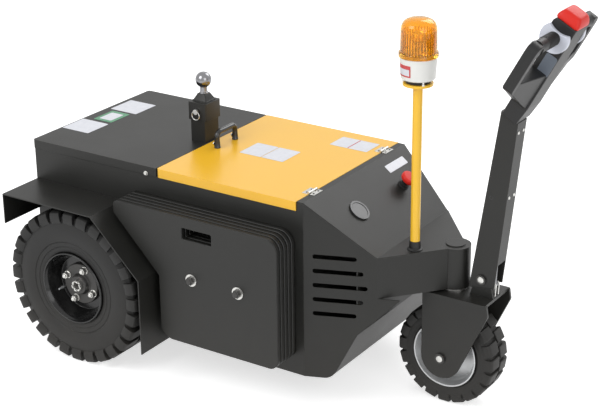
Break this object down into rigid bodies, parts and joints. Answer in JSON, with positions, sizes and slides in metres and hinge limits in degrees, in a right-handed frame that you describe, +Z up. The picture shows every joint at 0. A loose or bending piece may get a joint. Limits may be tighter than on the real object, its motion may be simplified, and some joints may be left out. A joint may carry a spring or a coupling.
{
  "type": "electric pedestrian baggage tug",
  "caption": "Walk-behind electric baggage tug with a folding tiller, towing ball, ballast plates on both flanks, yellow battery lid and amber beacon.",
  "frame": {"origin": "floor level, under the middle of the bounding box", "axes": "+X forward towards the tiller, +Y to the left, +Z up"},
  "size_m": [1.6092, 0.836, 1.1766],
  "materials": {
    "chassis_black": "satin powder coat",
    "lid_yellow": "satin powder coat",
    "pole_yellow": "satin paint",
    "battery_grey": "moulded case",
    "axle_grey": "painted casting",
    "tyre_black": "moulded rubber",
    "rim_silver": "silver paint",
    "rim_black": "gloss black paint",
    "hub_steel": "zinc plated",
    "ball_chrome": "polished",
    "plastic_black": "grained",
    "paddle_grey": "smooth",
    "button_red": "smooth",
    "beacon_white": "smooth",
    "lens_amber": "clear amber",
    "bulb_silver": "reflector",
    "gauge_grey": "smooth"
  },
  "bodies": {
    "chassis": {"tub": "chassis_black", "rear_deck": "chassis_black", "battery_pack": "battery_grey", "rear_axle": "axle_grey", "mudguard_left": "chassis_black", "mudguard_right": "chassis_black", "ballast_plates_left": "chassis_black", "ballast_plates_right": "chassis_black", "ballast_bolts_left": "hub_steel", "ballast_bolts_right": "hub_steel", "nose_cheek_left": "chassis_black", "nose_cheek_right": "chassis_black", "nose_top": "chassis_black", "nose_bulkhead": "chassis_black", "arm_floor": "chassis_black", "head_tube": "chassis_black", "nose_hinge_leaves": "hub_steel", "hitch_post": "chassis_black", "hitch_sleeve": "chassis_black", "tow_ball": "ball_chrome", "hitch_pin": "hub_steel", "beacon_pole": "pole_yellow", "beacon_base": "beacon_white", "beacon_lens": "lens_amber", "beacon_bulb": "bulb_silver", "charge_gauge": "gauge_grey", "emergency_stop": "button_red"},
    "lid_panel": {"lid": "lid_yellow", "lid_handle": "plastic_black", "lid_hinge_leaves": "hub_steel"},
    "rear_wheel_left": {"rear_tyre_left": "tyre_black", "rear_rim_left": "rim_black", "rear_hub_left": "hub_steel"},
    "rear_wheel_right": {"rear_tyre_right": "tyre_black", "rear_rim_right": "rim_black", "rear_hub_right": "hub_steel"},
    "fork": {"fork_frame": "chassis_black", "fork_stem": "hub_steel", "front_axle": "hub_steel", "tiller_bracket": "chassis_black", "spring_clevis": "hub_steel", "tiller_pivot": "hub_steel"},
    "front_wheel": {"front_tyre": "tyre_black", "front_rim": "rim_silver"},
    "tiller": {"tiller_arm": "chassis_black", "tiller_head": "plastic_black", "throttle_paddles": "paddle_grey", "belly_button": "button_red"},
    "gas_spring_barrel": {"gas_spring_cylinder": "plastic_black"},
    "gas_spring_piston": {"gas_spring_rod": "ball_chrome"}
  },
  "joints": [
    {"name": "lid_hinge", "type": "hinge", "parent": "chassis", "child": "lid_panel", "pos_m": [0.12044, 0, 0.6116], "axis": [0, 1, 0], "range_deg": [0, 95]},
    {"name": "rear_wheel_left_spin", "type": "hinge", "parent": "chassis", "child": "rear_wheel_left", "pos_m": [-0.56956, 0.343, 0.235], "axis": [0, 1, 0], "continuous": true},
    {"name": "rear_wheel_right_spin", "type": "hinge", "parent": "chassis", "child": "rear_wheel_right", "pos_m": [-0.56956, -0.343, 0.235], "axis": [0, 1, 0], "continuous": true},
    {"name": "steer", "type": "hinge", "parent": "chassis", "child": "fork", "pos_m": [0.45944, 0, 0.338], "axis": [0, 0, 1], "range_deg": [-72, 72]},
    {"name": "front_wheel_spin", "type": "hinge", "parent": "fork", "child": "front_wheel", "pos_m": [0.45944, 0, 0.148], "axis": [0, 1, 0], "continuous": true},
    {"name": "tiller_tilt", "type": "hinge", "parent": "fork", "child": "tiller", "pos_m": [0.55344, 0, 0.39], "axis": [0, 1, 0], "range_deg": [0, 65]},
    {"name": "gas_spring_swing", "type": "hinge", "parent": "tiller", "child": "gas_spring_barrel", "pos_m": [0.59544, 0, 0.667], "axis": [0, 1, 0], "range_deg": [-1, 1]},
    {"name": "gas_spring_stroke", "type": "slide", "parent": "gas_spring_barrel", "child": "gas_spring_piston", "axis": [0.0508, 0, 0.9987], "range_m": [0, 0.0354]}
  ],
  "couplings": [
    {"joint": "gas_spring_swing", "follows": "tiller_tilt", "ratio": -0.0075},
    {"joint": "gas_spring_stroke", "follows": "tiller_tilt", "m_per_rad": 0.030722}
  ]
}
